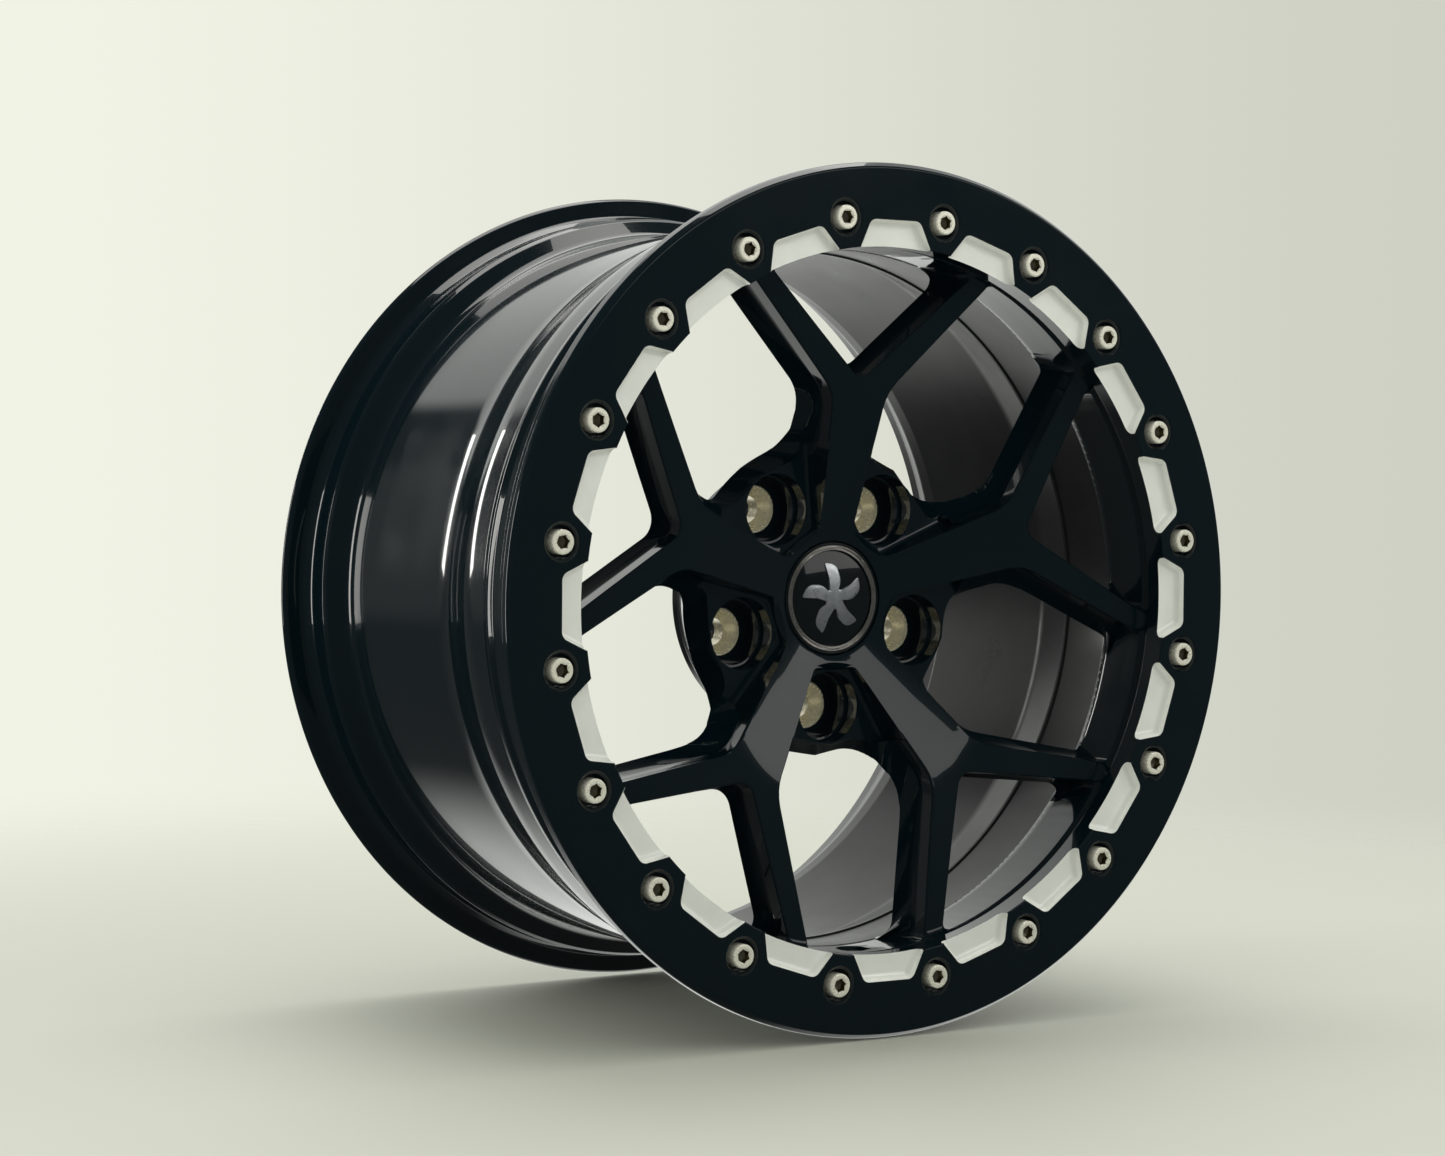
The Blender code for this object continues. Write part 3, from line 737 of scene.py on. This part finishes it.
def build_cap():
    """The snap-in centre cap: body with legs, trim ring, domed badge and spring ring."""
    shell = rounded([
        (29.5, 57.9, 0.3), (30.2, 57.3, 0.5), (31.1, 58.4, 0.6), (31.1, 60.7, 0), (27.5, 60.7, 0),
        (27.5, 65.6, 0.4), (0.02, 65.6, 0), (0.02, 61.0, 0), (29.5, 60.4, 0)])
    legs = [leg(30 + 60 * k) for k in range(6)]
    body = joined("cap_body", [lathe(shell, 160)] + legs, [CAP_BLACK])
    weigh_normals(body)
    finish_piece(body, "center_cap", "cap_plastic", "center_cap_body")

    trim = rounded([
        (29.3, 60.1, 0), (29.3, 57.6, 0.4), (28.7, 57.1, 0.3), (28.2, 57.7, 0.15), (28.0, 58.3, 0.15),
        (27.5, 58.3, 0.15), (27.3, 57.7, 0.15), (26.8, 57.1, 0.3), (26.3, 57.8, 0.2), (26.3, 60.1, 0)])
    ring = stand_up("cap_trim_ring", lathe(trim, 160), [CHROME])
    weigh_normals(ring)
    finish_piece(ring, "center_cap", "cap_chrome", "center_cap_trim_ring")

    arc = [(BADGE_R * math.sin(math.radians(a)) / math.sin(math.radians(DOME_TURN)),
            BADGE_TOP + BADGE_RISE * (1 - math.cos(math.radians(a))) / DOME_DROP)
           for a in range(1, DOME_TURN + 1)]
    dome = [(0.05, BADGE_TOP)] + arc + [(26.1, 59.6), (26.1, 60.1), (0.05, 60.1)]
    badge = stand_up("cap_badge", lathe(dome, 160), [CAP_BLACK])
    finish_piece(badge, "center_cap", "cap_plastic", "center_cap_badge")

    wire = [(SPRING_R + WIRE_R * math.cos(k * math.tau / 16), 74.0 + WIRE_R * math.sin(k * math.tau / 16))
            for k in range(16)]
    spring = stand_up("cap_spring_ring", lathe(wire, 96), [WIRE])
    finish_piece(spring, "center_cap", "spring_wire", "center_cap_spring_ring")


def emblem_outline():
    """Five curved blades of a pinwheel."""
    blades = []
    for blade in range(5):
        base = 90 + 72 * blade
        for radius, turn, bend in ((4.6, -26, 1.0), (11.0, -24, 6.0), (18.6, -6, 6.0),
                                   (20.4, 17, 0.8), (13.4, 16, 6.0), (7.6, 26, 1.2)):
            blades.append((*polar(radius, base + turn), bend))
    return rounded(blades)


def dome_depth(radius):
    """Depth of the badge's dome under the emblem."""
    a = math.radians(DOME_TURN) * radius / BADGE_R
    return BADGE_TOP + BADGE_RISE * (1 - math.cos(a)) / DOME_DROP


def build_emblem():
    """The pinwheel, laid on the dome in rings from its middle to its outline."""
    outline = refined(emblem_outline(), 0.8)
    bm = bmesh.new()

    def point(x, y, proud):
        return bm.verts.new((x * MM, y * MM, level(dome_depth(math.hypot(x, y)) - proud)))

    steps = 9
    rings = []
    for k in range(1, steps + 1):
        share = k / steps
        proud = EMBLEM_PROUD if k < steps else EMBLEM_PROUD - 0.3
        rings.append([point(x * share, y * share, proud) for x, y in outline])
    rings.append([point(x, y, -0.1) for x, y in grown(outline, 0.12)])
    top = point(0.0, 0.0, EMBLEM_PROUD)
    low = point(0.0, 0.0, -0.1)
    count = len(outline)
    for i in range(count):
        j = (i + 1) % count
        bm.faces.new((top, rings[0][i], rings[0][j]))
        for first, second in zip(rings, rings[1:]):
            bm.faces.new((first[i], first[j], second[j], second[i]))
        bm.faces.new((low, rings[-1][j], rings[-1][i]))
    emblem = stand_up("cap_emblem", bm, [SILVER], 40)
    finish_piece(emblem, "center_cap", "cap_silver", "center_cap_emblem")


# ---------------------------------------------------------------- studio

VIEW_RIGHT = Vector((0.84138, -0.54038, 0.00843)).normalized()
VIEW_FORWARD = Vector((0.54039, 0.84097, -0.02719)).normalized()
VIEW_POINT = Vector((-1.01133, -1.40434 + CAD_BOX[0].y, 0.05893))
SENSOR = 36.0
LENS = 80.65


def camera():
    """The photo's viewpoint, solved from the outlines of the ring and the rear flange."""
    data = bpy.data.cameras.new("camera")
    data.sensor_width = SENSOR
    data.lens = LENS
    cam = bpy.data.objects.new("camera", data)
    bpy.context.scene.collection.objects.link(cam)
    up = VIEW_RIGHT.cross(VIEW_FORWARD).normalized()
    turn = Matrix((VIEW_RIGHT, up, -VIEW_FORWARD)).transposed().to_4x4()
    cam.matrix_world = Matrix.Translation(VIEW_POINT) @ turn
    bpy.context.scene.camera = cam


LAMP_COLOUR = (1.0, 0.99, 0.95)


def area_light(name, place, target, size, power, roll=0.0):
    """A rectangular light facing the target, rolled about its own axis by some degrees."""
    data = bpy.data.lights.new(name, "AREA")
    data.shape = "RECTANGLE"
    data.size, data.size_y = size
    data.energy = power
    data.color = LAMP_COLOUR
    light = bpy.data.objects.new(name, data)
    bpy.context.scene.collection.objects.link(light)
    light.location = place
    facing = (Vector(target) - Vector(place)).to_track_quat("-Z", "Y").to_matrix()
    light.rotation_euler = (facing @ Matrix.Rotation(math.radians(roll), 3, "Z")).to_euler()


def direction_share(tree, aim, low, high, result):
    """A value that runs from result[0] to result[1] as directions turn towards aim."""
    coords = tree.nodes.new("ShaderNodeTexCoord")
    dot = tree.nodes.new("ShaderNodeVectorMath")
    dot.operation = "DOT_PRODUCT"
    dot.inputs[1].default_value = Vector(aim).normalized()
    span = tree.nodes.new("ShaderNodeMapRange")
    span.interpolation_type = "SMOOTHSTEP"
    for name, value in zip(("From Min", "From Max", "To Min", "To Max"), (low, high, *result)):
        span.inputs[name].default_value = value
    tree.links.new(coords.outputs["Generated"], dot.inputs[0])
    tree.links.new(dot.outputs["Value"], span.inputs["Value"])
    return span.outputs["Result"]


def backdrop(tree, colour, strength):
    """A background of one colour, its strength a number or the output of a node."""
    node = tree.nodes.new("ShaderNodeBackground")
    node.inputs["Color"].default_value = (*colour, 1)
    if isinstance(strength, float):
        node.inputs["Strength"].default_value = strength
    else:
        tree.links.new(strength, node.inputs["Strength"])
    return node.outputs["Background"]


def total(tree, first, second):
    """The sum of two node outputs."""
    node = tree.nodes.new("ShaderNodeMath")
    node.operation = "ADD"
    tree.links.new(first, node.inputs[0])
    tree.links.new(second, node.inputs[1])
    return node.outputs["Value"]


def choice(tree, share, first, second):
    """The second background where share is 1, the first where it is 0."""
    mix = tree.nodes.new("ShaderNodeMixShader")
    tree.links.new(share, mix.inputs["Fac"])
    tree.links.new(first, mix.inputs[1])
    tree.links.new(second, mix.inputs[2])
    return mix.outputs["Shader"]


def world():
    """A pale room. The gloss mirrors its far wall and floor, and the dim side in front."""
    studio_world = bpy.data.worlds.new("studio")
    bpy.context.scene.world = studio_world
    studio_world.use_nodes = True
    tree = studio_world.node_tree
    # The backdrop seen by the camera runs from brighter on the left to darker on the right: painted light
    # falloff across the wall.
    shown = backdrop(tree, (1.0, 1.02, 0.895), direction_share(tree, VIEW_RIGHT, -0.24, 0.24, (0.88, 0.62)))
    far_wall = direction_share(tree, (VIEW_FORWARD.x, VIEW_FORWARD.y, 0.6), 0.735, 0.775, (0.06, 0.85))
    far_floor = direction_share(tree, (0.45, 0.75, -0.70), 0.76, 0.94, (0.0, 0.95))
    grey_door = direction_share(tree, (-0.469, 0.883, 0.12), 0.970, 0.985, (0.0, 0.07))
    mirrored = backdrop(tree, (0.98, 1.0, 0.96), total(tree, total(tree, far_wall, far_floor), grey_door))
    soft = backdrop(tree, (1.0, 1.02, 0.93), 1.12)
    rays = tree.nodes.new("ShaderNodeLightPath")
    lit = choice(tree, rays.outputs["Is Glossy Ray"], soft, mirrored)
    tree.links.new(choice(tree, rays.outputs["Is Camera Ray"], lit, shown),
                   tree.nodes["World Output"].inputs["Surface"])


FLOOR_R = 2.2
FLOOR_FADE = (0.45, 1.5)                    # metres from the middle over which the floor fades out


def floor():
    """A pale disc that fades into the backdrop and isn't mirrored in the gloss."""
    bm = bmesh.new()
    bmesh.ops.create_circle(bm, cap_ends=True, segments=96, radius=FLOOR_R)
    mesh = bpy.data.meshes.new("floor")
    bm.to_mesh(mesh)
    bm.free()
    obj = bpy.data.objects.new("floor", mesh)
    bpy.context.scene.collection.objects.link(obj)
    obj.location = (0, 0, CAD_BOX[0].z - 0.0005)
    mat = bpy.data.materials.new("floor")
    mat.use_nodes = True
    tree = mat.node_tree
    shader = tree.nodes["Principled BSDF"]
    shader.inputs["Base Color"].default_value = (0.47, 0.48, 0.43, 1)
    shader.inputs["Roughness"].default_value = 0.6
    coords = tree.nodes.new("ShaderNodeTexCoord")
    size = tree.nodes.new("ShaderNodeVectorMath")
    size.operation = "LENGTH"
    fade = tree.nodes.new("ShaderNodeMapRange")
    fade.interpolation_type = "SMOOTHSTEP"
    for name, value in zip(("From Min", "From Max", "To Min", "To Max"), (*FLOOR_FADE, 1.0, 0.0)):
        fade.inputs[name].default_value = value
    rays = tree.nodes.new("ShaderNodeLightPath")
    direct = tree.nodes.new("ShaderNodeMath")
    direct.operation = "SUBTRACT"
    direct.inputs[0].default_value = 1.0
    shown = tree.nodes.new("ShaderNodeMath")
    shown.operation = "MULTIPLY"
    tree.links.new(rays.outputs["Is Glossy Ray"], direct.inputs[1])
    tree.links.new(coords.outputs["Object"], size.inputs[0])
    tree.links.new(size.outputs["Value"], fade.inputs["Value"])
    tree.links.new(fade.outputs["Result"], shown.inputs[0])
    tree.links.new(direct.outputs["Value"], shown.inputs[1])
    tree.links.new(shown.outputs["Value"], shader.inputs["Alpha"])
    mesh.materials.append(mat)


def studio():
    """Backdrop, floor, four soft lights and the camera."""
    bpy.context.scene.view_settings.view_transform = "Standard"
    world()
    floor()
    area_light("rear left strip", (-0.77, 2.06, 0.44), (-0.21, 0, 0.1), (0.17, 0.80), 3.0, roll=24.0)
    area_light("left strip", (-2.40, 0.75, 0.25), (-0.21, 0, 0), (0.50, 1.3), 14)
    area_light("front right panel", (1.84, -2.44, 1.05), (0, 0, 0), (2.4, 0.9), 8)
    area_light("overhead box", (0.2, 0.4, 2.3), (0, 0, 0), (1.8, 1.4), 26)
    camera()


build_body()
build_ring()
build_screws()
build_seats()
build_cap()
build_emblem()
studio()
